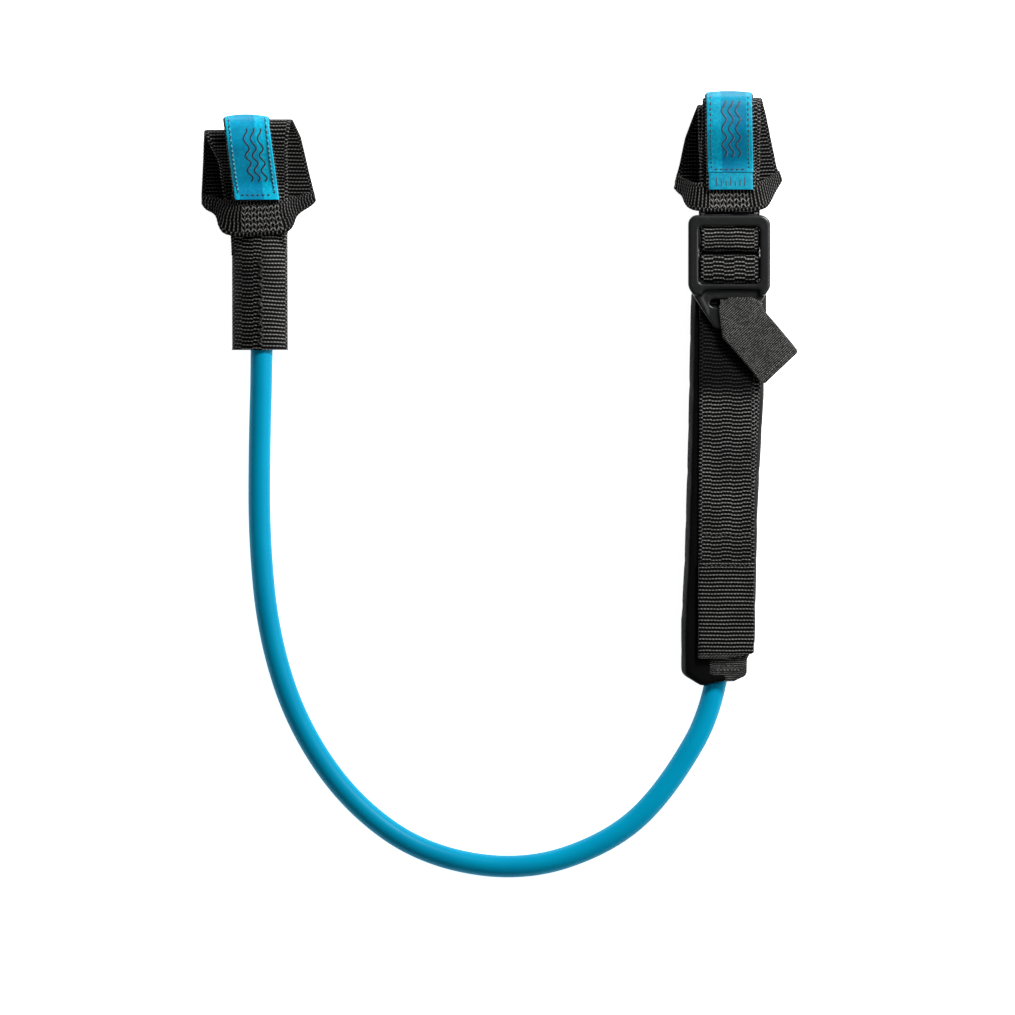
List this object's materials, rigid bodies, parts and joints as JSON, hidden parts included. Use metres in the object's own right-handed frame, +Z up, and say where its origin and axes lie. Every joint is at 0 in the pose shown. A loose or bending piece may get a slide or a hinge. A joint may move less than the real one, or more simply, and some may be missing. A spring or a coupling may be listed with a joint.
{
  "type": "adjustable windsurf harness line",
  "caption": "Adjustable windsurf harness line: a stiff tube bent to a U between two webbing boom loops, with a ladder-lock buckle, release tab and sleeve at one end.",
  "frame": {"origin": "on the surface the line lies on, under the middle of the box of everything but the tube and its core", "axes": "+X from the fixed left boom loop to the adjustable right one, +Y from the bend of the U to the boom loops, +Z up from the surface"},
  "size_m": [0.2572, 0.3397, 0.0282],
  "materials": {
    "tube_pu": "smooth glossy polyurethane",
    "rope": "braided polyester",
    "webbing": "ribbed polyester webbing",
    "thread": "bonded nylon thread",
    "label": "woven satin label",
    "label_thread": "bonded nylon thread",
    "buckle_plastic": "moulded acetal, satin",
    "sleeve_cover": "smooth laminated cover",
    "ribbon": "fine ribbed ribbon"
  },
  "bodies": {
    "line": {"tube": "tube_pu", "rope_core": "rope", "left_sleeve_front": "webbing", "left_sleeve_back": "webbing", "left_sleeve_seam": "thread", "left_loop_front": "webbing", "left_loop_back": "webbing", "right_sleeve": "sleeve_cover", "right_sleeve_end": "webbing"},
    "left_choke": {"left_band": "webbing", "left_band_tacks": "thread"},
    "left_flap": {"left_label_flap": "webbing", "left_label": "label", "left_label_stitching": "label_thread"},
    "carriage": {"right_loop_front": "webbing", "right_loop_back": "webbing", "load_strap": "webbing", "tail_strap": "webbing", "tail_fold": "webbing", "tail_stitching": "thread"},
    "right_choke": {"right_band": "webbing", "right_band_tacks": "thread"},
    "right_flap": {"right_label_flap": "webbing", "right_label": "label", "right_label_stitching": "label_thread", "size_label": "label"},
    "buckle": {"buckle": "buckle_plastic", "fixed_strap": "webbing", "grip_roll": "webbing"},
    "release_tab": {"release_tab": "ribbon", "release_tab_stitching": "thread"}
  },
  "joints": [
    {"name": "length_adjust", "type": "slide", "parent": "line", "child": "carriage", "axis": [0.0364, 0.9993, 0], "range_m": [0, 0.152], "deforming": ["tail_strap", "tail_fold", "tail_stitching"]},
    {"name": "buckle_tilt", "type": "hinge", "parent": "carriage", "child": "buckle", "pos_m": [0.099, 0.075, 0.0146], "axis": [-1, 0, 0], "range_deg": [0, 30]},
    {"name": "release_tab_lift", "type": "hinge", "parent": "buckle", "child": "release_tab", "pos_m": [0.102, 0.0366, 0.0186], "axis": [-1, 0, 0], "range_deg": [0, 90]},
    {"name": "left_choke_slide", "type": "slide", "parent": "line", "child": "left_choke", "axis": [0, 1, 0], "range_m": [0, 0.006], "deforming": ["left_loop_back"]},
    {"name": "right_choke_slide", "type": "slide", "parent": "carriage", "child": "right_choke", "axis": [0, 1, 0], "range_m": [0, 0.006], "deforming": ["right_loop_back"]},
    {"name": "left_flap_lift", "type": "hinge", "parent": "line", "child": "left_flap", "pos_m": [-0.109, 0.1165, 0.0244], "axis": [-1, 0, 0], "range_deg": [0, 80]},
    {"name": "right_flap_lift", "type": "hinge", "parent": "carriage", "child": "right_flap", "pos_m": [0.099, 0.1265, 0.0264], "axis": [-1, 0, 0], "range_deg": [0, 80]}
  ]
}
